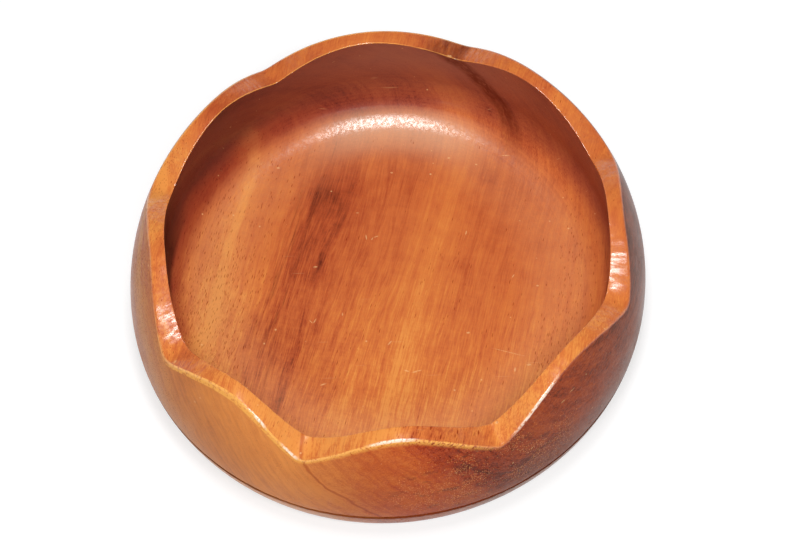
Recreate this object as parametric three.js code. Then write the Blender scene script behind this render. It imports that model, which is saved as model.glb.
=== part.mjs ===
// A small turned hardwood bowl with a scalloped rim.
// It is made of two boards glued one on the other: the upper board holds the wall,
// the hollow and the inner floor, and the lower board is the base it stands on.
// Millimetres, +Z up. The origin is on the underside, at the middle of the bowl.

import * as THREE from 'three';

// Outside of the bowl
const bellyRadius = 79.7;          // widest radius of the outside, before the wood moved
const bellyAboveGlueLine = 4.4;    // height of the widest circle above the glue line
const outerArcAboveBelly = 77.7;   // radius of the outside's curve above the widest circle
const outerArcBelowBelly = 32.5;   // radius of the outside's curve below it
const glueLineChamfer = 0.4;       // small chamfer on both boards where they meet

// Base board
const baseThickness = 12;          // underside to glue line
const footRounding = 5;            // radius between the outside's curve and the flat underside

// Hollow
const floorAboveGlueLine = 1.4;    // wood left over the glue line, so that it stays hidden inside
const wallAtBelly = 9.5;           // outside's widest radius less the hollow's
const hollowArc = 116;             // radius of the hollow's curve above its widest circle
const coveReach = 17;              // width of the cove between floor and wall
const coveRise = 10.7;             // height of the cove, up to the hollow's widest circle

// Scalloped rim: the outer edge falls below the inner one, most of all in the valleys
const valleyAboveFloor = 26;
const crestAboveFloor = 37.5;
const rimFallInValley = 2.3;
const rimFallOnCrest = 0.5;
const valleyRounding = 2.4;        // how far the round bottom of a valley reaches to each side
const crestFullness = 1.8;         // 2 is a parabola from valley to valley, less is more pointed

// The scallops were cut by hand. One row for each valley, counter-clockwise from +X:
// its angle in degrees, and how much higher than the rest it and the next crest are.
const scallops = [
  { angle: 24.5, valleyExtra: 0.3, crestExtra: 1.0 },
  { angle: 70, valleyExtra: 1.4, crestExtra: 0.2 },
  { angle: 119.5, valleyExtra: -1.4, crestExtra: -1.4 },
  { angle: 162.5, valleyExtra: -0.4, crestExtra: 0.3 },
  { angle: 208, valleyExtra: 0.2, crestExtra: 0.2 },
  { angle: 249, valleyExtra: 0.1, crestExtra: 0.1 },
  { angle: 296, valleyExtra: -0.5, crestExtra: -0.2 },
  { angle: 343.5, valleyExtra: 0.3, crestExtra: -0.2 },
];

// Wood shrinks across its grain, so the bowl has gone slightly oval
const outOfRound = 1.0;            // how much the longest radius is over the mean one
const longestDirection = 25.5;     // degrees from +X

// Fineness of the facets
const columnsPerScallop = 12;
const wallSteps = 8;
const lowerWallSteps = 3;
const coveSteps = 6;
const footSteps = 4;

// Heights and radii that follow from the sizes above
const glueLine = baseThickness;
const bellyHeight = glueLine + bellyAboveGlueLine;
const floorHeight = glueLine + floorAboveGlueLine;
const hollowRadius = bellyRadius - wallAtBelly;
const hollowBellyHeight = floorHeight + coveRise;
const lowerArcCentre = bellyRadius - outerArcBelowBelly;

// Radius at a height on a circular arc whose widest point is at the belly given
function arcRadius(widest, arc, heightFromWidest) {
  return widest - arc + Math.sqrt(arc * arc - heightFromWidest * heightFromWidest);
}

function outsideRadius(height) {
  const rise = height - bellyHeight;
  const arc = rise > 0 ? outerArcAboveBelly : outerArcBelowBelly;
  return arcRadius(bellyRadius, arc, rise);
}

function hollowWallRadius(height) {
  return arcRadius(hollowRadius, hollowArc, height - hollowBellyHeight);
}

// Evenly spaced values from start to end, both included
function steps(start, end, count) {
  return Array.from({ length: count + 1 }, (_, i) => start + ((end - start) * i) / count);
}

// The columns of the solids: each scallop has the same number, so every valley gets one.
// crestShare is 0 in a valley and 1 on a crest.
function scallopColumns() {
  const columns = [];
  scallops.forEach((here, index) => {
    const next = scallops[(index + 1) % scallops.length];
    const span = THREE.MathUtils.euclideanModulo(next.angle - here.angle, 360);
    const halfWidth = (THREE.MathUtils.degToRad(span) / 2) * bellyRadius;
    for (let column = 0; column < columnsPerScallop; column += 1) {
      const along = column / columnsPerScallop;
      const fromValley = 2 * halfWidth * Math.min(along, 1 - along);
      const softened = Math.hypot(fromValley, valleyRounding) - valleyRounding;
      const softenedHalf = Math.hypot(halfWidth, valleyRounding) - valleyRounding;
      const crestShare = 1 - (1 - softened / softenedHalf) ** crestFullness;
      const valleyExtra = THREE.MathUtils.lerp(here.valleyExtra, next.valleyExtra, along);
      const valley = valleyAboveFloor + valleyExtra;
      const crest = crestAboveFloor + here.crestExtra;
      columns.push({
        angle: THREE.MathUtils.degToRad(here.angle + span * along),
        outerRim: floorHeight + THREE.MathUtils.lerp(valley, crest, crestShare),
        rimFall: THREE.MathUtils.lerp(rimFallInValley, rimFallOnCrest, crestShare),
      });
    }
  });
  return columns;
}

// A point of a profile, moved outwards or inwards as the oval asks
function placed(column, [radius, height]) {
  const fromLongest = column.angle - THREE.MathUtils.degToRad(longestDirection);
  const stretch = 1 + (outOfRound / bellyRadius) * Math.cos(2 * fromLongest);
  return [radius * stretch * Math.cos(column.angle), radius * stretch * Math.sin(column.angle), height];
}

// A closed solid: profileAt(column) lists its points from the axis below, round the
// outside, to the axis above, without the two points on the axis themselves
function turnedSolid(columns, profileAt, axisBottom, axisTop) {
  const rings = columns.map((column) => profileAt(column).map((point) => placed(column, point)));
  const length = rings[0].length;
  const positions = rings.flat(2);
  positions.push(0, 0, axisBottom, 0, 0, axisTop);
  const bottomPoint = columns.length * length;
  const topPoint = bottomPoint + 1;
  const faces = [];
  columns.forEach((_, index) => {
    const here = index * length;
    const next = ((index + 1) % columns.length) * length;
    faces.push(bottomPoint, next, here);
    for (let point = 0; point < length - 1; point += 1) {
      faces.push(here + point, next + point, next + point + 1);
      faces.push(here + point, next + point + 1, here + point + 1);
    }
    faces.push(here + length - 1, next + length - 1, topPoint);
  });
  const geometry = new THREE.BufferGeometry();
  geometry.setAttribute('position', new THREE.Float32BufferAttribute(positions, 3));
  geometry.setIndex(faces);
  geometry.computeVertexNormals();
  return geometry;
}

// Upper board: wall, hollow and inner floor, with the scallops cut in its rim
function bodyProfile(column) {
  const outerRim = column.outerRim;
  const innerRim = outerRim + column.rimFall;
  const lowerWall = steps(glueLine + glueLineChamfer, bellyHeight, lowerWallSteps);
  const upperWall = steps(bellyHeight, outerRim, wallSteps).slice(1);
  const innerWall = steps(innerRim, hollowBellyHeight, wallSteps);
  const cove = steps(0, Math.PI / 2, coveSteps).slice(1);
  return [
    [outsideRadius(glueLine) - glueLineChamfer, glueLine],
    ...[...lowerWall, ...upperWall].map((height) => [outsideRadius(height), height]),
    ...innerWall.map((height) => [hollowWallRadius(height), height]),
    ...cove.map((turn) => [
      hollowRadius - coveReach * (1 - Math.cos(turn)),
      hollowBellyHeight - coveRise * Math.sin(turn),
    ]),
  ];
}

// Lower board: the outside's curve goes on down and rolls under into the flat underside
function baseProfile() {
  const roundingRise = bellyHeight - footRounding;
  const slope = Math.asin(roundingRise / (outerArcBelowBelly - footRounding));
  const footRadius = lowerArcCentre + (outerArcBelowBelly - footRounding) * Math.cos(slope);
  const rounding = steps(Math.PI / 2, slope, footSteps);
  const top = bellyHeight - outerArcBelowBelly * Math.sin(slope);
  const side = steps(top, glueLine - glueLineChamfer, lowerWallSteps).slice(1);
  return [
    ...rounding.map((turn) => [
      footRadius + footRounding * Math.cos(turn),
      footRounding * (1 - Math.sin(turn)),
    ]),
    ...side.map((height) => [outsideRadius(height), height]),
    [outsideRadius(glueLine) - glueLineChamfer, glueLine],
  ];
}

function woodMesh(name, geometry, color) {
  const material = new THREE.MeshStandardMaterial({ color, roughness: 0.35, metalness: 0 });
  const mesh = new THREE.Mesh(geometry, material);
  mesh.name = name;
  return mesh;
}

const columns = scallopColumns();
const bowl = new THREE.Group();
bowl.add(woodMesh('bowl_body', turnedSolid(columns, bodyProfile, glueLine, floorHeight), 0xb5663a));
bowl.add(woodMesh('base_board', turnedSolid(columns, baseProfile, 0, glueLine), 0xa06a45));

export default bowl;
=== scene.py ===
# %% [markdown]
# # A scalloped wooden bowl
# This lesson dresses a small turned bowl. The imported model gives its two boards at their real
# size. Here each board is turned again as a fine, smooth mesh with rounded edges, and gets a
# wood that runs right through it, as grain runs through a real blank.

# %% Open the frame
import math
from types import SimpleNamespace

import bpy
import numpy as np
from mathutils import Matrix, Vector


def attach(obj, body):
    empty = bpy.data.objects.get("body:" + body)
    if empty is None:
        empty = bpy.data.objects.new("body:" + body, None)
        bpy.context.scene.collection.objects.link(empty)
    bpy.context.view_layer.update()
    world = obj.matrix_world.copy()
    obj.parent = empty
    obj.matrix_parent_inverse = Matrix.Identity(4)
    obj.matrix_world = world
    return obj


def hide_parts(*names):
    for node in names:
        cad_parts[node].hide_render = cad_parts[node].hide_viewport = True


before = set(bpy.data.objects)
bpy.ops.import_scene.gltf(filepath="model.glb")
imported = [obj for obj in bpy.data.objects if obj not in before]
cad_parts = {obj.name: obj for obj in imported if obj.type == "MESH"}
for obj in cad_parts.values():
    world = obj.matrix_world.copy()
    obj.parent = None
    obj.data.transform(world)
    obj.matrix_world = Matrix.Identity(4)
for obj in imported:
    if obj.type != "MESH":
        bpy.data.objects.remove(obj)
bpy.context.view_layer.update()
MM = 0.001

# %% [markdown]
# ## The camera
# The bowl is seen from a little over 60 degrees above the table, through a long lens, which
# keeps the near and far sides of the rim at nearly one scale. The camera looks at a point on the
# inner floor and is rolled by a degree and a half.

# %% Set the camera
PHOTO_WIDTH = 794
SENSOR_WIDTH = 36.0
CAMERA_DISTANCE = 1.2
CAMERA_ELEVATION = math.radians(62.2)
CAMERA_ROLL = math.radians(1.36)
FOCAL_PIXELS = 3829
LOOK_AT = Vector((2.8, 3.1, 13.4)) * MM


def aim_camera():
    data = bpy.data.cameras.new("camera")
    data.sensor_width = SENSOR_WIDTH
    data.lens = FOCAL_PIXELS * SENSOR_WIDTH / PHOTO_WIDTH
    data.clip_start = 0.05
    data.clip_end = 20
    camera = bpy.data.objects.new("camera", data)
    bpy.context.scene.collection.objects.link(camera)
    back = Vector((0, -math.cos(CAMERA_ELEVATION), math.sin(CAMERA_ELEVATION)))
    turn = (-back).to_track_quat("-Z", "Y").to_matrix() @ Matrix.Rotation(-CAMERA_ROLL, 3, "Z")
    camera.matrix_world = Matrix.Translation(LOOK_AT + back * CAMERA_DISTANCE) @ turn.to_4x4()
    bpy.context.scene.camera = camera
    return camera


camera = aim_camera()
print("lens in mm:", round(camera.data.lens, 1))

# %% [markdown]
# ## Sizes of the turned shape
# A turned bowl is known by its half section. The outside is one round curve above its widest
# circle and a tighter one below. The hollow is a long, nearly upright curve that sweeps into the
# floor through a cove.

# %% Sizes
BELLY_RADIUS = 79.7
OUTER_ARC_ABOVE = 77.7
OUTER_ARC_BELOW = 32.5
GLUE_LINE = 12.0
BELLY_HEIGHT = GLUE_LINE + 4.4
FOOT_ROUNDING = 5.0

FLOOR_HEIGHT = GLUE_LINE + 1.4
HOLLOW_RADIUS = BELLY_RADIUS - 9.5
HOLLOW_ARC = 116.0
COVE_REACH = 17.0
COVE_RISE = 10.7
HOLLOW_BELLY = FLOOR_HEIGHT + COVE_RISE

OUT_OF_ROUND = 1.0
LONGEST_DIRECTION = math.radians(25.5)
JUST_INSIDE = 0.9995

OUTER_ARRIS = 0.7
INNER_ARRIS = 0.4
RIM_CROWN = 0.1
GLUE_CHAMFER = 0.32
SMOOTH_UP_TO = math.radians(40)
print("section: radius", BELLY_RADIUS, "floor", FLOOR_HEIGHT, "hollow", round(HOLLOW_RADIUS, 1))


# %% Curves of the section
def outside_radius(height):
    rise = height - BELLY_HEIGHT
    arc = np.where(rise > 0, OUTER_ARC_ABOVE, OUTER_ARC_BELOW)
    return BELLY_RADIUS - arc + np.sqrt(arc**2 - rise**2)


def hollow_wall_radius(height):
    return HOLLOW_RADIUS - HOLLOW_ARC + np.sqrt(HOLLOW_ARC**2 - (height - HOLLOW_BELLY) ** 2)


# %% [markdown]
# ## The scalloped rim
# The rim was cut and sanded by hand into eight round crests with V-shaped valleys. Each valley
# has its own angle and height, as on the real bowl. The top of the rim also falls outwards,
# most of all in the valleys, so its outer edge lies lower than its inner one.

# %% Heights of the rim all the way round
VALLEY_HEIGHT = FLOOR_HEIGHT + 26.0
CREST_HEIGHT = FLOOR_HEIGHT + 37.5
RIM_FALL_IN_VALLEY = 2.3
RIM_FALL_ON_CREST = 0.25
VALLEY_ROUNDING = 2.4
CREST_FULLNESS = 1.8
VALLEY_ANGLES = [24.5, 70, 119.5, 162.5, 208, 249, 296, 343.5]
VALLEY_EXTRA = [0.3, 1.4, -1.4, -0.4, 0.2, 0.1, -0.5, 0.3]
CREST_EXTRA = [1.0, 0.2, -1.4, 0.3, 0.2, 0.1, -0.2, -0.2]


def rim_at(degrees):
    """Height of the rim's outer edge, and how far that lies under the inner edge."""
    count = len(VALLEY_ANGLES)
    starts = [angle - 360 if angle > degrees else angle for angle in VALLEY_ANGLES]
    here = max(range(count), key=lambda index: starts[index])
    after = (here + 1) % count
    span = (VALLEY_ANGLES[after] - VALLEY_ANGLES[here]) % 360
    along = (degrees - starts[here]) / span
    half_width = math.radians(span) / 2 * BELLY_RADIUS
    soft = math.hypot(2 * half_width * min(along, 1 - along), VALLEY_ROUNDING) - VALLEY_ROUNDING
    soft_half = math.hypot(half_width, VALLEY_ROUNDING) - VALLEY_ROUNDING
    share = 1 - (1 - soft / soft_half) ** CREST_FULLNESS
    valley = VALLEY_HEIGHT + (1 - along) * VALLEY_EXTRA[here] + along * VALLEY_EXTRA[after]
    crest = CREST_HEIGHT + CREST_EXTRA[here]
    fall = RIM_FALL_IN_VALLEY * (1 - share) ** 2 + RIM_FALL_ON_CREST * share**2
    return valley + share * (crest - valley), fall


def hand_wobble(degrees, *waves):
    """Small unevenness left by hand work: (count round the bowl, size, start) for each wave."""
    angle = math.radians(degrees)
    return sum(size * math.sin(count * angle + start) for count, size, start in waves)


print("rim in a valley and on a crest:", rim_at(249), rim_at(272.5))

# %% [markdown]
# ## Turning a section into a solid
# A lathe piece starts as its half section. One vertex is extruded from point to point, and Spin
# sweeps the line once round the axis. Every vertex keeps the number of its place along the
# section, its station, so the scallops can be cut afterwards by moving each column of vertices
# to the section that belongs to its own angle.

# %% Draw and spin
COLUMNS = 720


def draw_section(name, points):
    """A chain of edges through the points, given as radius and height in mm."""
    bpy.ops.object.select_all(action="DESELECT")
    corners = [Vector((radius, 0, height)) * MM for radius, height in points]
    bpy.ops.mesh.primitive_plane_add(size=MM, location=(0, 0, 0))
    piece = bpy.context.object
    piece.name = piece.data.name = name
    bpy.ops.object.mode_set(mode="EDIT")
    bpy.ops.mesh.merge(type="CENTER")
    bpy.ops.transform.translate(value=corners[0])
    for start, end in zip(corners, corners[1:]):
        bpy.ops.mesh.extrude_region_move(TRANSFORM_OT_translate={"value": end - start})
    bpy.ops.object.mode_set(mode="OBJECT")
    station = piece.data.attributes.new("station", "INT", "POINT")
    station.data.foreach_set("value", range(len(piece.data.vertices)))
    return piece


def spin_section(piece):
    bpy.ops.object.mode_set(mode="EDIT")
    bpy.ops.mesh.select_all(action="SELECT")
    bpy.ops.mesh.spin(steps=COLUMNS, angle=2 * math.pi, center=(0, 0, 0), axis=(0, 0, 1))
    bpy.ops.mesh.select_all(action="SELECT")
    bpy.ops.mesh.remove_doubles(threshold=0.0001 * MM)
    bpy.ops.mesh.normals_make_consistent(inside=False)
    bpy.ops.object.mode_set(mode="OBJECT")


def bend(corner, before, after, count):
    """Points of a rounded corner, from the point before it to the point after it."""
    turn = np.linspace(0, 1, count)[:, None]
    before, corner, after = (np.array(point, float) for point in (before, corner, after))
    return before * (1 - turn) ** 2 + 2 * corner * turn * (1 - turn) + after * turn**2


# %% Shape every column
def oval_stretch(angle):
    return 1 + OUT_OF_ROUND / BELLY_RADIUS * np.cos(2 * (angle - LONGEST_DIRECTION))


def shape_columns(piece, section_at):
    """Moves each column to its own section, and then to the oval that the wood dried to."""
    mesh = piece.data
    count = len(mesh.vertices)
    places = np.empty(count * 3)
    mesh.vertices.foreach_get("co", places)
    places = places.reshape(-1, 3)
    stations = np.empty(count, int)
    mesh.attributes["station"].data.foreach_get("value", stations)
    angles = np.arctan2(places[:, 1], places[:, 0])
    columns = np.rint(angles / (2 * math.pi) * COLUMNS).astype(int) % COLUMNS
    sections = np.array([section_at(column * 360 / COLUMNS) for column in range(COLUMNS)])
    radius, height = sections[columns, stations].T
    exact = columns * 2 * math.pi / COLUMNS
    radius = radius * oval_stretch(exact) * JUST_INSIDE
    new = np.column_stack([radius * np.cos(exact), radius * np.sin(exact), height]) * MM
    mesh.vertices.foreach_set("co", new.ravel())
    mesh.update()


# %% [markdown]
# ## The upper board
# It holds the wall, the hollow and the floor. The edges of the rim are a little rounded by
# sandpaper and by years of hands, and so is the lower edge, where a fine V marks the glue line.

# %% Section of the upper board
UNDER_SHARES = (0, 0.6, 1)
WALL_POINTS = 26
ARRIS_POINTS = 5
RIM_POINTS = 6
COVE_POINTS = 16
FLOOR_POINTS = 12
RIM_SANDED_OFF = 0.2
CHIP_SHARE = 0.45
LEAST_CHIPS = -0.8


def glue_chamfer(degrees):
    """The V along the glue line is wider where small chips have broken out of it."""
    chips = hand_wobble(degrees, (37, 0.3, 0.2), (71, 0.3, 1.9), (113, 0.4, 0.7))
    return GLUE_CHAMFER * (1 + CHIP_SHARE * max(chips, LEAST_CHIPS))


def body_section(degrees):
    outer, fall = rim_at(degrees)
    outer += hand_wobble(degrees, (11, 0.07, 0.4), (23, 0.04, 2.0), (47, 0.03, 1.1))
    outer += hand_wobble(degrees, (97, 0.026, 0.8), (133, 0.02, 2.6)) - RIM_SANDED_OFF
    inner = outer + fall + hand_wobble(degrees, (13, 0.06, 1.7), (29, 0.04, 0.3), (109, 0.02, 1.2))
    chamfer = glue_chamfer(degrees)
    outer_edge = np.array([outside_radius(outer), outer])
    inner_edge = np.array([hollow_wall_radius(inner), inner])
    along_rim = (inner_edge - outer_edge) / np.linalg.norm(inner_edge - outer_edge)
    outer_heights = np.linspace(GLUE_LINE + chamfer, outer - OUTER_ARRIS, WALL_POINTS)
    inner_heights = np.linspace(inner - INNER_ARRIS, HOLLOW_BELLY, WALL_POINTS)
    outer_wall = np.column_stack([outside_radius(outer_heights), outer_heights])
    inner_wall = np.column_stack([hollow_wall_radius(inner_heights), inner_heights])
    rim_start = outer_edge + along_rim * OUTER_ARRIS
    outer_corner = bend(outer_edge, outer_wall[-1], rim_start, ARRIS_POINTS)
    rim_end = inner_edge - along_rim * INNER_ARRIS
    inner_corner = bend(inner_edge, rim_end, inner_wall[0], ARRIS_POINTS)
    top = np.linspace(outer_corner[-1], inner_corner[0], RIM_POINTS)
    top[:, 1] += RIM_CROWN * np.sin(np.linspace(0, math.pi, RIM_POINTS))
    turn = np.linspace(0, math.pi / 2, COVE_POINTS)
    cove = np.column_stack([
        HOLLOW_RADIUS - COVE_REACH * (1 - np.cos(turn)),
        HOLLOW_BELLY - COVE_RISE * np.sin(turn),
    ])
    floor_radii = np.linspace(HOLLOW_RADIUS - COVE_REACH, 0, FLOOR_POINTS)
    floor = np.column_stack([floor_radii, np.full(FLOOR_POINTS, FLOOR_HEIGHT)])
    under_radius = outside_radius(GLUE_LINE) - chamfer
    under = [(under_radius * share, GLUE_LINE) for share in UNDER_SHARES]
    return np.vstack([under, outer_wall, outer_corner[1:], top[1:], inner_corner[1:],
                      inner_wall[1:], cove[1:], floor[1:]])


# %% Places along the section
# The section runs from the middle of the glued face outwards, up the wall, over the rim and
# down into the hollow. The masks name the stations where each of them is 1.
UNDER_END = len(UNDER_SHARES) - 1
WALL_END = UNDER_END + WALL_POINTS
RIM_START = WALL_END + ARRIS_POINTS - 1
RIM_END = RIM_START + RIM_POINTS - 1
HOLLOW_START = RIM_END + ARRIS_POINTS - 1
HOLLOW_END = HOLLOW_START + WALL_POINTS - 1
COVE_END = HOLLOW_END + COVE_POINTS - 1
OUTER_EDGE = [WALL_END + 1, WALL_END + 2, WALL_END + 3]
BODY_MASKS = {
    "arris": [*OUTER_EDGE, RIM_END + 1, RIM_END + 2],
    "gold_band": [WALL_END, WALL_END + 1, WALL_END + 2],
    "outer_edge": OUTER_EDGE,
    "outside": range(UNDER_END, WALL_END + 2),
    "rim": range(WALL_END + 1, HOLLOW_START),
    "groove": [UNDER_END - 1, UNDER_END, UNDER_END + 1]}


def read_stations(piece):
    places = np.empty(len(piece.data.vertices), int)
    piece.data.attributes["station"].data.foreach_get("value", places)
    return places


def keep_value(piece, name, values):
    """Stores one number for each vertex under a name, for the material to read."""
    attribute = piece.data.attributes.new(name, "FLOAT", "POINT")
    attribute.data.foreach_set("value", values.astype(float))


def mark_stations(piece, name, stations):
    keep_value(piece, name, np.isin(read_stations(piece), list(stations)))


def mark_depth(piece):
    """1 on the wall of the hollow, falling to 0 through the cove, and 0 on everything else."""
    places = read_stations(piece)
    depth = (COVE_END - places) / (COVE_END - HOLLOW_END)
    keep_value(piece, "hollow_wall", np.clip(depth, 0, 1) * (places >= HOLLOW_START))


# %% Turn the upper board
body = draw_section("bowl_body_wood", body_section(0))
spin_section(body)
shape_columns(body, body_section)
for mask, stations in BODY_MASKS.items():
    mark_stations(body, mask, stations)
mark_depth(body)
print("upper board:", len(body.data.vertices), "vertices", len(body.data.polygons), "faces")

# %% [markdown]
# ## The base board
# The curve of the outside goes on down the lower board and rolls under into the flat underside.

# %% Turn the base board
UNDER_POINTS = 8
ROUNDING_POINTS = 10
BASE_SIDE_POINTS = 12
BASE_CHIPS_TURNED = 5


def base_section(degrees):
    rise = BELLY_HEIGHT - FOOT_ROUNDING
    slope = math.asin(rise / (OUTER_ARC_BELOW - FOOT_ROUNDING))
    foot_radius = BELLY_RADIUS - OUTER_ARC_BELOW
    foot_radius += (OUTER_ARC_BELOW - FOOT_ROUNDING) * math.cos(slope)
    turn = np.linspace(math.pi / 2, slope, ROUNDING_POINTS)
    rounding = np.column_stack([
        foot_radius + FOOT_ROUNDING * np.cos(turn),
        FOOT_ROUNDING * (1 - np.sin(turn)),
    ])
    chamfer = glue_chamfer(degrees + BASE_CHIPS_TURNED)
    heights = np.linspace(rounding[-1, 1], GLUE_LINE - chamfer, BASE_SIDE_POINTS)
    side = np.column_stack([outside_radius(heights), heights])
    top_radius = outside_radius(GLUE_LINE) - chamfer
    under = np.column_stack([np.linspace(0, foot_radius, UNDER_POINTS), np.zeros(UNDER_POINTS)])
    return np.vstack([under, rounding[1:], side[1:], [(top_radius, GLUE_LINE)], [(0, GLUE_LINE)]])


base = draw_section("base_board_wood", base_section(0))
spin_section(base)
shape_columns(base, base_section)
TOP_STATION = UNDER_POINTS + ROUNDING_POINTS - 1 + BASE_SIDE_POINTS - 1
mark_stations(base, "groove", [TOP_STATION - 1, TOP_STATION])
mark_stations(base, "outside", range(TOP_STATION + 1))
print("base board:", len(base.data.vertices), "vertices")

# %% Hand both boards to the frame
for piece, node, slot in ((body, "bowl_body", "body_wood"), (base, "base_board", "base_wood")):
    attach(piece, "root")
    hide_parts(node)
    bpy.ops.object.select_all(action="DESELECT")
    piece.select_set(True)
    bpy.context.view_layer.objects.active = piece
    bpy.ops.object.shade_smooth_by_angle(angle=SMOOTH_UP_TO)
    print(piece.name, "takes the place of", node)


# %% [markdown]
# ## Wood that runs right through
# A bowl is cut out of a board, so the same layers show on the floor, on the wall and on the rim.
# The pattern is worked out from where a point lies in the board. One axis runs along the fibres,
# one across the growth layers and one in between.

# %% Axes of the board
FIBRE_AZIMUTH = math.radians(75)
LAYER_TILT = math.radians(40.6)
FIBRE = Vector((math.cos(FIBRE_AZIMUTH), math.sin(FIBRE_AZIMUTH), 0))
ACROSS = Vector((math.sin(FIBRE_AZIMUTH), -math.cos(FIBRE_AZIMUTH), 0)) * math.cos(LAYER_TILT)
ACROSS += Vector((0, 0, math.sin(LAYER_TILT)))
IN_LAYER = ACROSS.cross(FIBRE)
print("across the layers:", [round(part, 3) for part in ACROSS])


# %% [markdown]
# ### Helpers for node trees
# A big node tree is easier to read as sums than as a picture. Each helper below takes sockets or
# numbers, adds one node to the tree that its sockets belong to, and returns the node's output.

# %% Add nodes
def fill_inputs(tree, node, inputs):
    """Sets or links a node's inputs, given by name or number."""
    for key, value in dict(inputs).items():
        if isinstance(value, bpy.types.NodeSocket):
            tree.links.new(value, node.inputs[key])
        else:
            node.inputs[key].default_value = value
    return node


def add_node(tree, kind, inputs=(), **settings):
    node = tree.nodes.new("ShaderNode" + kind)
    for key, value in settings.items():
        setattr(node, key, value)
    return fill_inputs(tree, node, inputs)


def follow(kind, inputs, **settings):
    """Adds a node to the tree that its inputs come from."""
    sockets = [value for value in inputs.values() if isinstance(value, bpy.types.NodeSocket)]
    return add_node(sockets[0].id_data, kind, inputs, **settings)


# %% Sums and ranges
def maths(operation, first, second=0.0, clamp=False):
    inputs = {0: first, 1: second}
    return follow("Math", inputs, operation=operation, use_clamp=clamp).outputs[0]


def plus(*values):
    total = values[0]
    for value in values[1:]:
        total = maths("ADD", total, value)
    return total


def times(*values):
    total = values[0]
    for value in values[1:]:
        total = maths("MULTIPLY", total, value)
    return total


def larger(first, second):
    return maths("MAXIMUM", first, second)


def rest_of(mask):
    return maths("SUBTRACT", 1.0, mask)


def remap(value, low, high, to_low=0.0, to_high=1.0, kind="LINEAR"):
    """Carries a value from one range to another, clamped at both ends."""
    inputs = {"Value": value, "From Min": low, "From Max": high}
    inputs.update({"To Min": to_low, "To Max": to_high})
    node = follow("MapRange", inputs, interpolation_type=kind, clamp=True)
    return node.outputs["Result"]


def fade(value, low, high, to_low=0.0, to_high=1.0):
    """The same with a soft start and end."""
    return remap(value, low, high, to_low, to_high, "SMOOTHSTEP")


def swing(noise, size):
    """Carries the usual range of a noise to minus and plus a size."""
    return remap(noise, 0.25, 0.75, -size, size)


def near(value, places):
    """1 close to the places given as (middle, half width), and 0 well outside them."""
    total = 0.0
    for middle, half_width in places:
        distance = maths("ABSOLUTE", maths("SUBTRACT", value, middle))
        close = fade(distance, half_width, half_width * 0.3)
        total = maths("ADD", close, total, clamp=True)
    return total


# %% Places and textures
def stretched(position, scales):
    return follow("Mapping", {"Vector": position, "Scale": scales}).outputs["Vector"]


def noise_value(position, scales, detail=2.0, roughness=0.5):
    vector = stretched(position, scales)
    inputs = {"Vector": vector, "Scale": 1.0, "Detail": detail, "Roughness": roughness}
    return follow("TexNoise", inputs).outputs["Fac"]


def voronoi_cells(vector):
    """Distance to each cell's middle, and three random numbers that belong to the cell."""
    cell = follow("TexVoronoi", {"Vector": vector, "Scale": 1.0})
    lot = follow("SeparateColor", {0: cell.outputs["Color"]}).outputs
    return cell.outputs["Distance"], lot


def split(vector):
    return follow("SeparateXYZ", {0: vector}).outputs


def in_millimetres(position):
    inputs = {0: position, "Scale": 1 / MM}
    return follow("VectorMath", inputs, operation="SCALE").outputs[0]


def far_out(position, middle, half_sizes, degrees=0):
    """How far out a point is from an ellipsoid's middle: 1 on its surface."""
    inputs = {"Vector": position, "Location": middle, "Scale": half_sizes}
    inputs["Rotation"] = (0, 0, math.radians(degrees))
    local = follow("Mapping", inputs, vector_type="TEXTURE").outputs[0]
    return follow("VectorMath", {0: local}, operation="LENGTH").outputs["Value"]


# %% Mixing and colours
# A Mix node has a set of sockets for each kind of data: numbers are inputs 2 and 3 and output 0,
# colours are inputs 6 and 7 and output 2.
def mixed_value(factor, first, second):
    return follow("Mix", {0: factor, 2: first, 3: second}).outputs[0]


def mixed(blend, factor, first, second):
    inputs = {0: factor, 6: first, 7: second}
    return follow("Mix", inputs, data_type="RGBA", blend_type=blend).outputs[2]


def srgb(red, green, blue):
    """A colour named in the 0 to 255 steps of a screen, as the linear one that a shader takes."""
    steps = [channel / 255 for channel in (red, green, blue)]
    return (*[((s + 0.055) / 1.055) ** 2.4 if s > 0.04045 else s / 12.92 for s in steps], 1.0)


# %% Groups
def new_group(name, **inputs):
    """A shader node group with named input sockets of the given kinds."""
    tree = bpy.data.node_groups.new(name, "ShaderNodeTree")
    for label, kind in inputs.items():
        tree.interface.new_socket(label, in_out="INPUT", socket_type="NodeSocket" + kind)
    return tree, tree.nodes.new("NodeGroupInput").outputs


def put_out(tree, **outputs):
    """Gives the group one output socket for each named value."""
    end = tree.nodes.new("NodeGroupOutput")
    for label, value in outputs.items():
        kind = "Vector" if value.type == "VECTOR" else "Float"
        tree.interface.new_socket(label, in_out="OUTPUT", socket_type="NodeSocket" + kind)
        tree.links.new(value, end.inputs[label])
    print(tree.name, "puts out", list(outputs))
    return tree


def use_group(tree, group, inputs):
    return fill_inputs(tree, add_node(tree, "Group", node_tree=group), inputs).outputs


# %% [markdown]
# ### Where a point lies in the board
# A small group turns the position into the board's own axes, in millimetres: x across the
# layers, y within a layer and across the fibres, z along the fibres. Slow noise bends the
# layers, because no tree grows in flat sheets.

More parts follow.
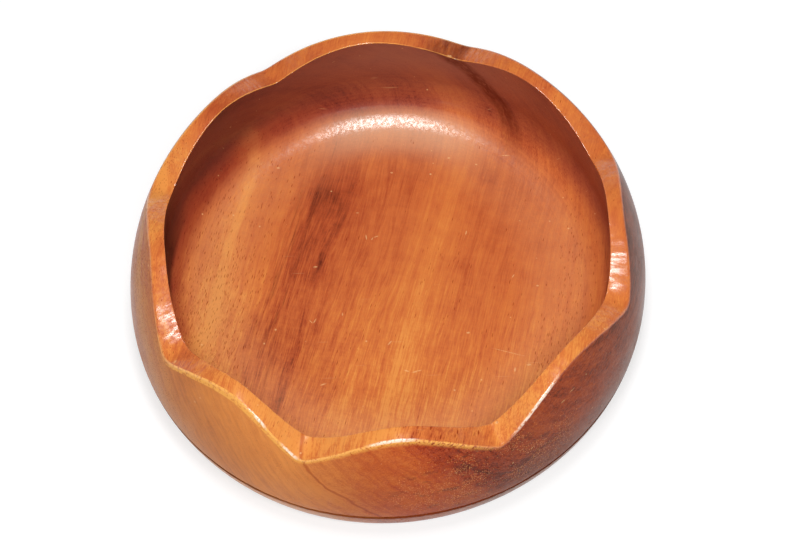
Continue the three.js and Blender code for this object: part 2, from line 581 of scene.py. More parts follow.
# %% Board axes
def make_board_axes():
    tree, given = new_group("board_axes", Position="Vector", Shift="Float")
    position = in_millimetres(given["Position"])
    inputs = {0: position, 1: (0, 0, FLOOR_HEIGHT)}
    from_floor = follow("VectorMath", inputs, operation="SUBTRACT").outputs[0]
    parts = []
    for axis in (ACROSS, IN_LAYER, FIBRE):
        dot = follow("VectorMath", {0: from_floor, 1: axis}, operation="DOT_PRODUCT")
        parts.append(dot.outputs["Value"])
    straight = follow("CombineXYZ", dict(enumerate(parts))).outputs[0]
    slow = noise_value(straight, (0.02, 0.02, 0.009), detail=1.0)
    quick = noise_value(straight, (0.12, 0.12, 0.03), detail=2.0)
    slow_bend = remap(slow, 0.3, 0.7, -2.0, 2.0)
    quick_bend = remap(quick, 0.3, 0.7, -0.7, 0.7)
    across = plus(parts[0], slow_bend, quick_bend, given["Shift"])
    board = follow("CombineXYZ", {0: across, 1: parts[1], 2: parts[2]}).outputs[0]
    return put_out(tree, Board=board)


board_axes = make_board_axes()

# %% [markdown]
# ### Light and dark layers
# The wood's tone is one number, from 0 for dark brown to 1 for gold. It changes with the layer:
# the stops say how light the wood is at so many millimetres across the layers. Finer bands,
# growth lines, fibres and a faint cross figure then vary it, most of all at the front. One dark
# stain lies at the front end, and the darkest layer fades at the back. Only afterwards does the
# number become a colour, so light wood is always yellower and dark wood always redder.

# %% Tone of the layers
LAYER_START = -75.0
LAYER_END = 95.0
LAYER_TONES = {
    -75: 0.5, -56: 0.54, -45: 0.57, -41: 0.68, -38: 1.06, -35.5: 0.72, -29: 0.58,
    -23: 0.25, -17: 0.27, -12: 0.42, 0: 0.56, 10: 0.76, 16: 0.54, 28: 0.53,
    37: 0.64, 47: 0.58, 60: 0.62, 75: 0.5, 95: 0.5}
FRONT_STAIN = -0.36
BACK_FADING = 0.22
TONE_COLOURS = {
    0.0: srgb(104, 40, 22),
    0.25: srgb(172, 76, 40),
    0.5: srgb(198, 102, 52),
    0.75: srgb(212, 120, 58),
    1.0: srgb(226, 144, 70)}


def fill_ramp(ramp, stops):
    elements = ramp.elements
    while len(elements) < len(stops):
        elements.new(0.5)
    for element, (position, colour) in zip(elements, stops.items()):
        element.position = position
        element.color = colour


def make_layer_tone():
    tree, given = new_group("layer_tone", Board="Vector")
    board = given["Board"]
    across, _, along = split(board)
    place = remap(across, LAYER_START, LAYER_END)
    ramp = follow("ValToRGB", {0: place})
    span = LAYER_END - LAYER_START
    fill_ramp(ramp.color_ramp, {
        (distance - LAYER_START) / span: (tone, tone, tone, 1)
        for distance, tone in LAYER_TONES.items()})
    layer = follow("SeparateColor", {0: ramp.outputs["Color"]}).outputs[0]
    bands = noise_value(board, (0.42, 0.04, 0.008), detail=3.0, roughness=0.6)
    fibres = noise_value(board, (2.6, 2.0, 0.12), detail=3.0, roughness=0.7)
    growth_lines = noise_value(board, (0.8, 0.09, 0.03), detail=3.0, roughness=0.6)
    figure = noise_value(board, (0.07, 0.11, 0.13), detail=3.0, roughness=0.55)
    mottle = noise_value(board, (0.5, 0.7, 0.25), detail=3.0, roughness=0.65)
    chatter = noise_value(board, (0.25, 0.25, 1.3), detail=3.0, roughness=0.7)
    mottle = mixed_value(remap(along, 20, -40, 0.3, 1.0), 0.5, mottle)
    stain = times(fade(across, 36, 45), fade(along, -48, -62))
    faded = times(remap(across, -31, -25), remap(across, -6, -14), fade(along, 26, 50))
    contrast = plus(remap(along, 20, -40, 0.75, 1.9), remap(along, 35, 60, 0.0, 0.3))
    chatter_share = remap(along, 0, -40, 0.35, 1.0)
    # The last term lightens the front and darkens the back: a painted gradient of light, as the
    # light is brighter towards the front.
    tone = plus(
        layer, times(stain, FRONT_STAIN), times(faded, BACK_FADING), swing(bands, 0.1),
        times(remap(fibres, 0.2, 0.8, -0.2, 0.2), contrast),
        times(swing(growth_lines, 0.1), contrast), swing(figure, 0.1), swing(mottle, 0.13),
        times(swing(chatter, 0.09), chatter_share), remap(along, -60, 60, 0.19, -0.17))
    return put_out(tree, Tone=tone, Fibres=fibres, Growth=growth_lines)


layer_tone = make_layer_tone()

# %% [markdown]
# ### Pores and dark streaks
# The wood has open pores: short dark dashes along the fibres, and dots where the fibres end at
# the surface. A Voronoi pattern stretched along the fibres gives one pore to each cell. Some
# layers hold many and others few, and wide ones lie open at the front. A few layers also carry
# long dark streaks, one is dark around a knot at the back, and one has a thin dark line that
# shows on the front of the wall.

# %% Pores
PORE_CELL = (2.9, 2.9, 0.42)
RICH_LAYERS = ((-38, 14), (44, 8))
STREAK_LAYERS = ((-24, 4), (54, 2.5))
KNOT = (22, 4)
WIDE_PORE_CELL = (1.0, 1.0, 0.25)
WIDE_PORES = (48, 8)
WIDE_PORE_SHARE = 0.6
DARK_LINE = 12.4
DARK_LINE_START = -50.0


def make_pores():
    tree, given = new_group("pores_and_streaks", Board="Vector")
    board = given["Board"]
    across, _, along = split(board)
    distance, lot = voronoi_cells(stretched(board, PORE_CELL))
    crowd = noise_value(board, (0.16, 0.05, 0.03), detail=2.0)
    rich = times(near(across, RICH_LAYERS), remap(along, 30, -15, 0.15, 0.85))
    share = plus(remap(crowd, 0.5, 0.75, 0.0, 0.25), rich)
    core = maths("DIVIDE", distance, remap(lot[1], 0, 1, 0.22, 0.5))
    dash = times(fade(core, 1.0, 0.3), maths("LESS_THAN", lot[0], share))
    distance, lot = voronoi_cells(stretched(board, WIDE_PORE_CELL))
    share = times(near(across, [WIDE_PORES]), remap(along, -42, -56), WIDE_PORE_SHARE)
    wide_pore = times(fade(distance, 0.34, 0.16), maths("LESS_THAN", lot[0], share))
    lines = noise_value(board, (1.0, 0.4, 0.07), detail=3.0, roughness=0.6)
    streak = times(
        remap(lines, 0.54, 0.7), near(across, STREAK_LAYERS), remap(along, 18, 40, 1.0, 0.0))
    knot = times(
        near(across, [KNOT]), remap(along, 54, 66, 0.0, 1.3), remap(lines, 0.3, 0.6, 0.4, 1.0))
    wander = noise_value(board, (0.3, 0.1, 0.06), detail=2.0)
    middle = remap(wander, 0.3, 0.7, DARK_LINE - 0.3, DARK_LINE + 0.3)
    off_line = maths("ABSOLUTE", maths("SUBTRACT", across, middle))
    line = times(
        fade(off_line, 0.8, 0.1), remap(along, DARK_LINE_START, DARK_LINE_START - 12, 0.0, 0.6))
    return put_out(tree, Pores=larger(dash, wide_pore), Streaks=larger(streak, knot), Line=line)


pores_and_streaks = make_pores()

# %% [markdown]
# ### End grain
# Where the fibres run into the surface, as at the front and the back of the wall, the wood soaks
# up more finish and looks darker and redder. The group compares the surface's direction with
# that of the fibres.

# %% End grain
def make_end_grain():
    tree, given = new_group("end_grain", Normal="Vector")
    inputs = {0: given["Normal"], 1: FIBRE}
    dot = follow("VectorMath", inputs, operation="DOT_PRODUCT").outputs["Value"]
    facing = maths("ABSOLUTE", dot)
    return put_out(tree, End=fade(facing, 0.45, 0.98))


end_grain = make_end_grain()

# %% [markdown]
# ### Wear
# Years of use have left pale specks, short scratches in all directions and duller patches in the
# lacquer. They sit on the surface, so they don't follow the grain. The lathe left very fine
# rings, which go round the bowl's axis, and sandpaper left fine lines across the rim. The
# lacquer itself isn't quite even either, and that breaks its shine into a glitter.

# %% Wear
SPECK_CELL = 0.22
SPECK_SHARE = 0.5
SCRATCHES = {20: (0.035, 0.9), 75: (0.05, 1.1), 140: (0.04, 1.0)}
SCRATCH_SHARE = 0.05


def make_wear():
    tree, given = new_group("surface_wear", Position="Vector")
    position = in_millimetres(given["Position"])
    distance, lot = voronoi_cells(stretched(position, (SPECK_CELL,) * 3))
    core = maths("DIVIDE", distance, remap(lot[1], 0, 1, 0.03, 0.1))
    kept = maths("LESS_THAN", lot[0], SPECK_SHARE)
    speck = times(remap(core, 1.0, 0.5), kept)
    scratches = 0.0
    for number, (degrees, (along, across)) in enumerate(SCRATCHES.items()):
        turned = follow("Mapping", {
            "Vector": position, "Rotation": (0, 0, math.radians(degrees)),
            "Scale": (along, across, 0.2), "Location": (number * 7.3, number * 3.1, 0)})
        distance, lot = voronoi_cells(turned.outputs[0])
        kept = maths("LESS_THAN", lot[0], SCRATCH_SHARE)
        mark = times(remap(distance, 0.12, 0.05), kept)
        scratches = larger(mark, scratches)
    dull = noise_value(position, (0.05, 0.05, 0.05), detail=4.0, roughness=0.6)
    east, north, up = split(position)
    flat = follow("CombineXYZ", {0: east, 1: north}).outputs[0]
    radius = follow("VectorMath", {0: flat}, operation="LENGTH").outputs["Value"]
    turn = maths("ARCTAN2", north, east)
    polar = follow("CombineXYZ", {0: radius, 1: turn, 2: up}).outputs[0]
    rings = noise_value(polar, (1.6, 0.8, 1.6), detail=3.0, roughness=0.7)
    rings = mixed_value(remap(radius, 44, 58), 0.5, rings)
    glitter = noise_value(position, (0.9, 0.9, 0.9), detail=3.0, roughness=0.75)
    sanding = noise_value(polar, (0.3, 90, 0.3), detail=3.0, roughness=0.7)
    return put_out(
        tree, Specks=speck, Scratches=scratches, Dull=dull, Rings=rings, Sanding=sanding,
        Glitter=glitter, Radius=radius)


surface_wear = make_wear()

# %% [markdown]
# ### Marks that were left one by one
# The larger scratches and chips are set one by one, each as a small ellipsoid with its own place
# and half sizes in millimetres. Most lie on the floor and have a direction too, in degrees. The
# others are on the rim and on the outside.

# %% Single marks
FLOOR_MARKS = {
    (-6.6, 17.9): (1.6, 0.35, 95), (-4.7, 17.3): (0.9, 0.3, 60), (-3.5, 18.0): (1.3, 0.3, 20),
    (-22.8, 7.7): (1.2, 0.5, 10), (-23.1, -11.3): (1.5, 0.35, 60), (-24.3, -11.6): (1.2, 0.3, 130),
    (-34.2, 43.6): (0.9, 0.5, 0), (-62.4, 17.2): (0.8, 0.5, 40), (-9.2, 26.7): (0.6, 0.4, 0),
    (24.5, -16.7): (0.9, 0.6, 0), (36.8, -23.8): (8.5, 0.18, -17), (43.0, -28.3): (1.2, 0.6, 0),
    (38.6, -29.9): (1.3, 0.5, 80), (8.2, -29.7): (2.6, 0.4, 15), (5.0, -29.4): (1.5, 0.4, -20),
    (0.1, -19.6): (1.6, 0.35, 50), (-20.7, -33.4): (1.8, 0.4, 20), (38.2, 45.9): (2.6, 0.3, -5),
    (20.2, 45.9): (0.8, 0.5, 0), (1.9, 41.0): (0.7, 0.5, 0), (28.9, 43.3): (0.7, 0.5, 0),
    (24.9, 18.6): (1.3, 0.35, 75), (39.2, 2.8): (1.2, 0.3, 60), (64.0, 15.7): (1.5, 0.4, 70),
    (57.2, 18.9): (0.7, 0.5, 0), (-14.5, -9.2): (0.9, 0.4, 90), (46.7, -0.8): (0.7, 0.5, 0)}
PALE_MARKS = {
    (-64.9, -38.3, 40.9): (0.9, 0.7, 1.5), (-66.5, -42.1, 39.4): (0.4, 0.8, 0.5),
    (67.4, 24.3, 41.5): (0.4, 0.4, 1), (74.9, -5.0, 49.4): (0.5, 0.9, 1),
    (31.6, -61.2, 41.0): (0.7, 0.5, 1), (49.5, 48.2, 51.0): (0.4, 0.4, 1),
    (32.9, 63.7, 43.4): (0.4, 0.4, 1), (20.9, 65.8, 43.0): (1.0, 0.6, 1),
    (55.0, -51.5, 41.5): (1.6, 1.4, 0.3), (61.7, -49.7, 24.8): (0.9, 0.9, 0.6),
    (64.9, -38.2, 43.0): (0.5, 0.5, 0.5), (52.0, -54.6, 40.5): (1.2, 1.2, 0.3)}
DARK_MARKS = {
    (70.2, 23.4, 42.0): (0.4, 0.4, 1), (51.7, -54.8, 42.4): (1.0, 1.0, 0.7),
    (42.9, -65.7, 29.8): (1.2, 1.2, 0.8), (53.2, 46.0, 49.0): (1.1, 0.25, 2),
    (54.8, 47.8, 49.0): (1.1, 0.25, 2), (22.5, -72.3, 40.4): (2.6, 1.5, 0.7),
    (19.5, -73.0, 41.0): (0.7, 0.7, 0.7), (24.8, -71.4, 41.2): (1.0, 1.0, 0.5)}
MARK_SIZE = 0.72


def mark_field(position, marks):
    """The largest of many small ellipsoids, each given as place: (half sizes, degrees)."""
    field = 0.0
    for place, (sizes, degrees) in marks.items():
        away = far_out(position, place, sizes, degrees)
        field = larger(remap(away, 1.0, 0.5), field)
    return field


def make_marks():
    tree, given = new_group("single_marks", Position="Vector")
    position = in_millimetres(given["Position"])
    pale = {
        (*place, FLOOR_HEIGHT): ((length * MARK_SIZE, width * MARK_SIZE, 2), degrees)
        for place, (length, width, degrees) in FLOOR_MARKS.items()}
    pale.update({place: (sizes, 0) for place, sizes in PALE_MARKS.items()})
    dark = {place: (sizes, 0) for place, sizes in DARK_MARKS.items()}
    broken = remap(noise_value(position, (1.8, 1.8, 1.8), detail=1.0), 0.3, 0.5)
    return put_out(
        tree, Pale=times(mark_field(position, pale), broken),
        Dark=times(mark_field(position, dark), broken))


single_marks = make_marks()

# %% [markdown]
# ### Blistered lacquer
# On the front of the wall, right of the middle, the lacquer is full of tiny blisters. Their bright
# colour is a painted glint of the light on them, and there are dark blotches between them. A fine
# Voronoi pattern makes the blisters, as bumps and as painted glints, and noise makes the blotches.
# Both fade out towards the edge of that place.

# %% Blisters
BLISTER_PLACE = (27.0, -67.0, 28.0)
BLISTER_REACH = (38.0, 34.0, 19.0)
BLISTERS_PER_MM = 2.0


def make_blisters():
    tree, given = new_group("blistered_lacquer", Position="Vector")
    position = in_millimetres(given["Position"])
    inside = fade(far_out(position, BLISTER_PLACE, BLISTER_REACH), 1.0, 0.5)
    distance, lot = voronoi_cells(stretched(position, (BLISTERS_PER_MM,) * 3))
    crowd = noise_value(position, (0.12, 0.12, 0.2), detail=2.0)
    crowd = remap(crowd, 0.42, 0.6, 0.04, 1.0)
    dot = fade(distance, 0.46, 0.16)
    dot = times(dot, maths("LESS_THAN", lot[0], times(crowd, inside)))
    blotch = noise_value(position, (0.16, 0.16, 0.28), detail=4.0, roughness=0.6)
    blotch = times(fade(blotch, 0.5, 0.68), inside)
    return put_out(tree, Blisters=dot, Blotches=blotch)


blistered_lacquer = make_blisters()

# %% [markdown]
# ## The two finishes
# Both boards take the same groups. First all that the finish depends on is read once: what the
# groups put out, the masks stored on the mesh, and east, north and up, the place on the bowl in
# millimetres. Further masks then say how far each patina reaches, and every patina is one more
# layer of colour over the wood.

# %% Read the surface
MASKS = ("arris", "gold_band", "outer_edge", "rim", "outside", "hollow_wall", "groove")


def read_surface(tree, shift):
    """All that the finish is made of, each value under its own name."""
    place = add_node(tree, "TexCoord").outputs
    position = {"Position": place["Object"]}
    board = {"Board": use_group(tree, board_axes, {**position, "Shift": shift})["Board"]}
    at = SimpleNamespace(board=board["Board"])
    at.east, at.north, at.up = split(in_millimetres(place["Object"]))
    for group, inputs in (
            (layer_tone, board), (pores_and_streaks, board),
            (end_grain, {"Normal": place["Normal"]}), (surface_wear, position),
            (single_marks, position), (blistered_lacquer, position)):
        for name, value in use_group(tree, group, inputs).items():
            setattr(at, name.lower(), value)
    for name in MASKS:
        setattr(at, name, add_node(tree, "Attribute", attribute_name=name).outputs["Fac"])
    at.blisters = times(at.outside, at.blisters)
    at.blotches = times(at.outside, at.blotches)
    at.right_side = times(at.outside, fade(at.east, 0, 50))
    # Front-left of the outside, made golden, partly as painted light.
    at.gold_side = times(at.outside, fade(at.north, -10, -60), fade(at.east, 10, -20))
    return at


# %% [markdown]
# ### Painted shade and sheen inside the bowl
# The wall of the hollow is darkened with painted shade, the shade under the overhanging rim. Most
# of it is on the left and at the back, and the floor is kept clear of it. A painted ring of shade
# lies over the upper cove and the foot of the wall on the left and at the back. A painted shadow of
# the left rim lies in the cove just under it, and towards the rim a pale painted sheen stands for
# the lacquer's reflection. Each layer is given as its way of mixing, its mask, its strength and its
# colour.

# %% Layers in the hollow
# Painted shade: where the darkening of the hollow's wall starts and where it is full, and where the
# darker painted shade on the left starts.
WALL_SHADE_FROM = 0.27
WALL_SHADE_FULL = 0.62
LEFT_SHADE_FROM = 0.6
SHADE_RING_PLACE = (0.7, 0.36)
WALL_SHADE_TINT = srgb(212, 188, 220)
LEFT_SHADE_COLOUR = srgb(86, 52, 50)
RING_SHADE_TINT = srgb(212, 180, 182)
SHEEN_COLOUR = srgb(176, 124, 106)
SHADE_COLOUR = srgb(58, 24, 16)


def hollow_layers(at):
    border = plus(
        at.hollow_wall, remap(at.dull, 0.3, 0.7, 0.08, -0.08),
        remap(at.east, 15, 50, 0.0, -0.2), remap(at.north, -25, -50, 0.0, -0.4),
        times(remap(at.north, 10, 40, 0.0, 0.1), remap(at.east, 20, -10)))
    not_end = remap(at.end, 0, 1, 1, 0.4)
    left_shade = times(remap(at.east, 20, -50), not_end)
    # Painted shade on the wall of the hollow, and darker painted shade on its left side.
    wall_shade = fade(border, WALL_SHADE_FROM, WALL_SHADE_FULL)
    left_wall_shade = times(fade(border, LEFT_SHADE_FROM, 1.0), left_shade)
    # A painted ring of shade over the upper cove and the foot of the wall, on the left and at the
    # back.
    shade_ring = times(
        near(at.hollow_wall, [SHADE_RING_PLACE]), remap(at.east, 25, -25), remap(at.north, -20, 20))
    # A pale painted sheen on the wall, growing towards the rim: the lacquer's reflection painted as
    # colour.
    painted_sheen = times(
        at.hollow_wall, remap(at.up, 18, 38, 0.2, 1.0),
        remap(at.east, -45, 0, 0.2, 1.0), remap(at.east, 20, 50, 1.0, 0.6))
    # Painted shadow of the left rim on the cove, just under its inner edge.
    rim_shadow = times(
        remap(at.hollow_wall, 0.58, 0.66), remap(at.north, 28, 12), remap(at.east, -54, -61))
    return [
        ("MULTIPLY", times(wall_shade, not_end), 1.0, WALL_SHADE_TINT),
        ("MIX", left_wall_shade, 0.55, LEFT_SHADE_COLOUR),
        ("MULTIPLY", shade_ring, 0.7, RING_SHADE_TINT),
        ("MIX", painted_sheen, 0.56, SHEEN_COLOUR),
        ("MIX", rim_shadow, 0.75, SHADE_COLOUR)]


# %% [markdown]
# ### Wood colour, painted light and painted shade outside, and the floor
# Outside, the front is golden on the left, partly the wood's colour and partly painted light, and
# it is redder towards the right. Both flanks are darkened with painted shade, the right one most,
# and most of all towards the bottom. On the floor, dust lies where a cloth doesn't reach, in the
# cove.
# A pale painted haze below the bright arc at the back stands for the lamp's reflection.

# %% Layers on the outside and the floor
RED_TINT = srgb(255, 214, 200)
GOLD_AND_LIGHT_COLOUR = srgb(255, 162, 80)
FLANK_SHADE_COLOUR = srgb(98, 66, 40)
HAZE_PLACE = (4, 36)
HAZE_COLOUR = srgb(236, 196, 160)
DUST_COLOUR = srgb(228, 170, 120)


def outside_layers(at):
    red_side = times(at.outside, remap(at.north, -20, -50), remap(at.east, -40, 8))
    # Golden wood on the front-left of the outside, partly painted light where the lamps fall on it.
    gold_and_light = times(at.gold_side, remap(at.east, -6, -34), remap(at.growth, 0.3, 0.7, 0.68, 1.08))
    # Painted shade on the flanks: the right one darkest, most of all towards the bottom, and the
    # left one a little.
    low_right_shade = times(at.right_side, fade(at.up, 34, 14))
    left_shade = times(at.outside, fade(at.east, -30, -66))
    return [
        ("MULTIPLY", red_side, 1.0, RED_TINT),
        ("MIX", gold_and_light, 0.66, GOLD_AND_LIGHT_COLOUR),
        ("MIX", at.right_side, 0.34, FLANK_SHADE_COLOUR),
        ("MIX", low_right_shade, 0.4, FLANK_SHADE_COLOUR),
        ("MIX", left_shade, 0.14, FLANK_SHADE_COLOUR)]


def floor_layers(at):
    on_floor = remap(at.up, FLOOR_HEIGHT + 3, FLOOR_HEIGHT + 1)
    # A pale painted haze below the bright arc at the back, standing for the lamp's reflection in
    # the lacquer.
    painted_haze = times(
        on_floor, fade(at.radius, 44, 57),
        remap(at.north, 34, 50), near(at.east, [HAZE_PLACE]))
    dusty = times(fade(at.radius, 36, 54), on_floor, rest_of(at.outside))
    dusty_front = times(dusty, remap(at.north, -26, -48))
    return [
        ("MIX", painted_haze, 0.45, HAZE_COLOUR),
        ("MIX", dusty, 0.14, DUST_COLOUR),
        ("MIX", dusty_front, 0.06, DUST_COLOUR)]


# %% [markdown]
# ### Worn edges and painted highlights
# Hands and cloths have rubbed the finish off the edges of the rim. At the front that leaves a
# golden band on the outer edge, broad at its left end. The thin pale line along the edges is partly
# that wear and partly a painted highlight. A few white places on the outer edge are painted
# highlights where the edge catches the light. Small chips break the band up, so noise in the wood
# cuts into it.

# %% Layers on the edges
THIN_WEAR_AND_GLINT = 0.6
FRONT_EDGE = (-34, -40)
GLINT_EDGES = ((43.5, 8.5), (0.5, 9.0), (-39.0, 2.2), (-30.5, 3.0))
WORN_AND_GLINT_COLOUR = srgb(255, 184, 88)
GLINT_COLOUR = srgb(255, 236, 216)


def edge_layers(at):
    front_or_back = larger(
        times(at.outside, remap(at.north, -20, -34)),
        times(rest_of(at.outside), remap(at.north, 20, 40)))
    # Thin pale line on the outer front edge and the inner back edge: partly wear, partly a painted
    # highlight.
    thin_wear_and_glint = times(
        at.arris, front_or_back, remap(at.dull, 0.36, 0.5), remap(at.east, 36, 20), THIN_WEAR_AND_GLINT)
    unchipped = remap(noise_value(at.board, (1.4, 1.4, 0.4), detail=3.0), 0.34, 0.5)
    at_front = remap(at.north, *FRONT_EDGE)
    band = times(at.gold_band, unchipped, at_front, remap(at.east, 34, 22))
    broad_end = times(
        remap(at.gold_band, 0.0, 0.25), remap(at.east, -24, -32), unchipped, at_front)
    # Painted highlights: white places on the outer edge where it catches the light.
    painted_glint = times(
        near(at.east, GLINT_EDGES), remap(at.north, -20, -30), at.outer_edge, unchipped)
    return [
        ("MIX", larger(thin_wear_and_glint, larger(band, broad_end)), 0.85, WORN_AND_GLINT_COLOUR),
        ("MIX", painted_glint, 0.85, GLINT_COLOUR)]


# %% [markdown]
# ### Colour of the whole surface
# The tone becomes a colour on a ramp, and the layers go over it one by one. First come the painted
# shade, light, sheen and haze with the patina, then the grain that shows through it, and then the
# wear, the painted highlights and the single marks on top. The dark streaks are kept to the hollow
# and the back of the rim.

# %% All layers of colour
RIM_LIGHTER = 0.16
RIGHT_SIDE_SHADE = -0.34
# Painted shade lowers the tone on the right of the outside. The gold side is raised, partly as
# painted light.
GOLD_SIDE_LIGHT = 0.05
END_GRAIN_TINT = srgb(238, 226, 222)
GREY_AND_REFLECTION_COLOUR = srgb(196, 156, 118)
LINE_TINT = srgb(196, 120, 84)
STREAK_COLOUR = srgb(108, 38, 18)
PORE_TINT = srgb(184, 124, 100)
BLOTCH_COLOUR = srgb(92, 36, 22)
BLISTER_GLINT_COLOUR = srgb(250, 166, 92)
SPECK_COLOUR = srgb(240, 190, 130)
DARK_MARK_COLOUR = srgb(96, 38, 20)
DIRT_COLOUR = srgb(98, 44, 26)


def surface_colour(at, lighter, greying_and_reflection):
    tone = plus(
        at.tone, lighter, times(at.rim, RIM_LIGHTER),
        times(at.right_side, RIGHT_SIDE_SHADE),
        times(at.gold_side, GOLD_SIDE_LIGHT),
        swing(at.rings, 0.08))
    ramp = follow("ValToRGB", {0: tone})
    fill_ramp(ramp.color_ramp, TONE_COLOURS)
    colour = ramp.outputs["Color"]
    front_of_rim = times(at.rim, remap(at.north, 20, 0))
    streaked = rest_of(larger(at.outside, front_of_rim))
    layers = [
        ("MULTIPLY", at.end, 1.0, END_GRAIN_TINT),
        *hollow_layers(at), *outside_layers(at), *floor_layers(at),
        # Greys the outside. On the base board this is partly a painted reflection of the white
        # table.
        ("MIX", at.outside, greying_and_reflection, GREY_AND_REFLECTION_COLOUR),
        ("MULTIPLY", at.line, 1.0, LINE_TINT),
        ("MIX", times(at.streaks, streaked), 0.65, STREAK_COLOUR),
        ("MULTIPLY", at.pores, 0.85, PORE_TINT),
        ("MIX", at.blotches, 0.6, BLOTCH_COLOUR),
        *edge_layers(at),
        ("MIX", at.scratches, 0.2, SPECK_COLOUR),
        ("MIX", at.specks, 0.55, SPECK_COLOUR),
        # Bright dots of the blisters: painted glints.
        ("MIX", at.blisters, 0.6, BLISTER_GLINT_COLOUR),
        ("MIX", at.pale, 0.55, SPECK_COLOUR),
        ("MIX", at.dark, 0.8, DARK_MARK_COLOUR),
        ("MIX", at.groove, 0.6, DIRT_COLOUR)]
    print("layers of colour:", len(layers))
    for blend, mask, strength, over in layers:
        colour = mixed(blend, times(mask, strength), colour, over)
    return colour


# %% [markdown]
# ### Shine and relief
# A clear coat plays the lacquer. Its weight says how much is left: most in the cove, less on the
# floor and hardly any on the wall. On the rim it shines on the slopes between valleys and crests.
# Noise breaks the shine up into a glitter, and pores stay dull. Fibres, pores, lathe rings and
# sanding lines also give a relief of a few hundredths of a millimetre.

# %% Shine and relief
SPARKLE = (0.44, 0.56, 0.25, 1.0)
VALLEY_TOP = 40.8
CREST_FOOT = 46.0
ARRIS_GLOSS = 0.9
COAT_ROUGHNESS = 0.19
COAT_IOR = 1.7
WOOD_SHINE = 0.05
RELIEF_STRENGTH = 0.5
RELIEF_HEIGHT = 0.06 * MM


def lacquer_left(at, outer_gloss):
    broken = times(remap(at.fibres, 0.3, 0.6, 0.5, 1.0), remap(at.glitter, *SPARKLE))
    hollow_gloss = times(
        broken, remap(at.hollow_wall, 0.27, 0.37, 1.0, 0.03),
        fade(at.radius, 36, 56, 0.3, 1.0))
    rim_gloss = times(
        remap(at.sanding, *SPARKLE), remap(at.glitter, 0.38, 0.58, 0.35, 1.0),
        remap(at.up, VALLEY_TOP, VALLEY_TOP + 1.5),
        remap(at.up, CREST_FOOT, CREST_FOOT + 3, 1.0, 0.08))
    gloss = mixed_value(at.rim, hollow_gloss, rim_gloss)
    gloss = mixed_value(at.outside, gloss, times(broken, outer_gloss))
    gloss = larger(gloss, times(at.arris, ARRIS_GLOSS))
    return times(gloss, rest_of(at.pores))


def relief(at):
    height = plus(
        at.fibres, times(at.pores, -1.2), times(at.rings, 0.6), at.glitter,
        times(at.sanding, at.rim, 0.8), times(at.scratches, -0.8), at.blisters)
    inputs = {"Height": height, "Strength": RELIEF_STRENGTH, "Distance": RELIEF_HEIGHT}
    return follow("Bump", inputs).outputs[0]


# %% [markdown]
# ### The two boards
# The base board comes from another part of the plank, 37 mm across the layers from the upper
# one. It is paler and has kept more of its gloss. Its outside is greyed a little, partly as a
# painted reflection of the white table.

# %% Lacquered wood
def make_lacquered_wood(name, shift, lighter, outer_gloss, greying_and_reflection):
    material = bpy.data.materials.new(name)
    material.use_nodes = True
    tree = material.node_tree
    at = read_surface(tree, shift)
    dullness = remap(at.dull, 0.35, 0.65, 0.3, 0.42)
    fill_inputs(tree, tree.nodes["Principled BSDF"], {
        "Base Color": surface_colour(at, lighter, greying_and_reflection),
        "Roughness": plus(dullness, times(at.pores, 0.2)),
        "Normal": relief(at),
        "Coat Weight": lacquer_left(at, outer_gloss),
        "Coat Roughness": COAT_ROUGHNESS,
        "Coat IOR": COAT_IOR,
        "Specular IOR Level": WOOD_SHINE})
    return material


WOODS = {
    "body_wood": (body, {"shift": 0.0, "lighter": 0.0, "outer_gloss": 0.2, "greying_and_reflection": 0.0}),
    "base_wood": (base, {"shift": 37.0, "lighter": 0.08, "outer_gloss": 0.45, "greying_and_reflection": 0.2})}
for name, (piece, looks) in WOODS.items():
    piece.data.materials.append(make_lacquered_wood(name, **looks))
print("materials:", [material.name for material in bpy.data.materials])

# %% [markdown]
# ## Table and light
# The bowl stands on a plain white table. A lamp right above it makes the bright arc at the back
# of the hollow, a long one in front makes the glints on the rim, and a small one at the left
# front lifts the outside there. The world is white at the horizon and dim above, as in a light
# tent with a dark roof, so the outside is lit all round and the hollow stays deep.

# %% White table
TABLE_SIZE = 12
TABLE_GREY = 0.42
TABLE_GLOW = 0.64


def seen_directly(tree):
    """1 for rays that see the white itself: from the camera, in gloss or through glass."""
    rays = add_node(tree, "LightPath").outputs
    seen = larger(rays["Is Camera Ray"], rays["Is Glossy Ray"])
    return larger(seen, rays["Is Transmission Ray"])


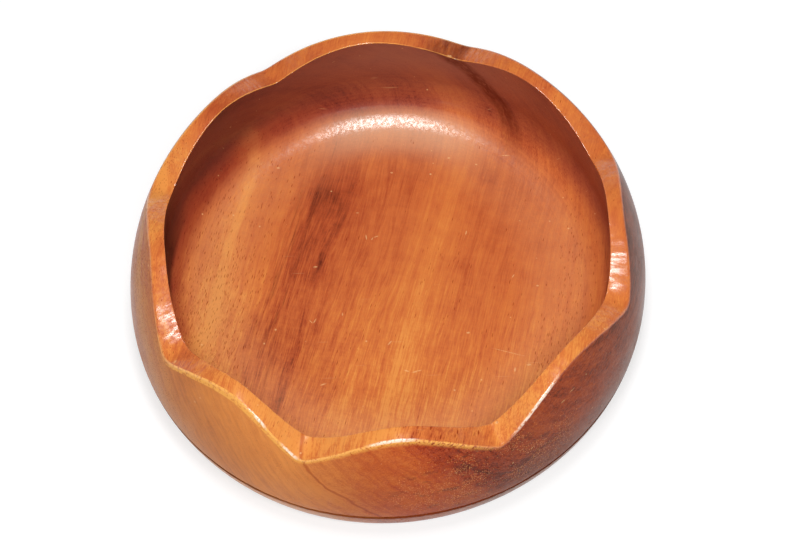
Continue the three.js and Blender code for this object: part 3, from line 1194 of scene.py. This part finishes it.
def lay_table():
    bpy.ops.object.select_all(action="DESELECT")
    bpy.ops.mesh.primitive_plane_add(size=TABLE_SIZE, location=(0, 0, 0))
    floor = bpy.context.object
    floor.name = "floor"
    material = bpy.data.materials.new("white_table")
    material.use_nodes = True
    tree = material.node_tree
    fill_inputs(tree, tree.nodes["Principled BSDF"], {
        "Base Color": (*[TABLE_GREY] * 3, 1),
        "Roughness": 0.9,
        "Specular IOR Level": 0.0,
        "Emission Color": (1, 1, 1, 1),
        "Emission Strength": times(seen_directly(tree), TABLE_GLOW)})
    floor.data.materials.append(material)


lay_table()
print("table in m:", TABLE_SIZE)

# %% Light
HORIZON_TOP = math.sin(math.radians(8))
DIM_FROM = math.sin(math.radians(30))
ROOF_LIGHT = 0.15
HORIZON_LIGHT = 0.45
LAMPS = {
    "overhead": ((0.0, 0.0, 1.0), (0.2, 0.36), 4.9),
    "front": ((0.07, -0.44, 0.9), (0.5, 0.07), 4.4),
    "left_front": ((-0.4, -0.8, 0.8), (0.14, 0.14), 1.3)}
bpy.context.scene.view_settings.view_transform = "Standard"


def make_world():
    world = bpy.data.worlds.new("world")
    bpy.context.scene.world = world
    world.use_nodes = True
    tree = world.node_tree
    up = split(add_node(tree, "TexCoord").outputs["Generated"])[2]
    low = fade(up, HORIZON_TOP, DIM_FROM, 1.0, 0.0)
    horizon = remap(seen_directly(tree), 0, 1, HORIZON_LIGHT, 1.0)
    above_roof = maths("SUBTRACT", horizon, ROOF_LIGHT)
    strength = plus(ROOF_LIGHT, times(low, above_roof))
    fill_inputs(tree, tree.nodes["Background"], {"Color": (1, 1, 1, 1), "Strength": strength})


def hang_lamp(name, place, size, power):
    """A rectangular lamp of size (across, deep) in metres that shines at the middle of the bowl."""
    data = bpy.data.lights.new(name, "AREA")
    data.shape = "RECTANGLE"
    data.size, data.size_y = size
    data.energy = power
    lamp = bpy.data.objects.new(name, data)
    bpy.context.scene.collection.objects.link(lamp)
    turn = Vector(place).to_track_quat("Z", "Y").to_matrix().to_4x4()
    lamp.matrix_world = Matrix.Translation(place) @ turn
    return lamp


make_world()
lamps = [hang_lamp(name, *settings) for name, settings in LAMPS.items()]
print("lamps:", [(lamp.name, round(lamp.data.energy, 1)) for lamp in lamps])
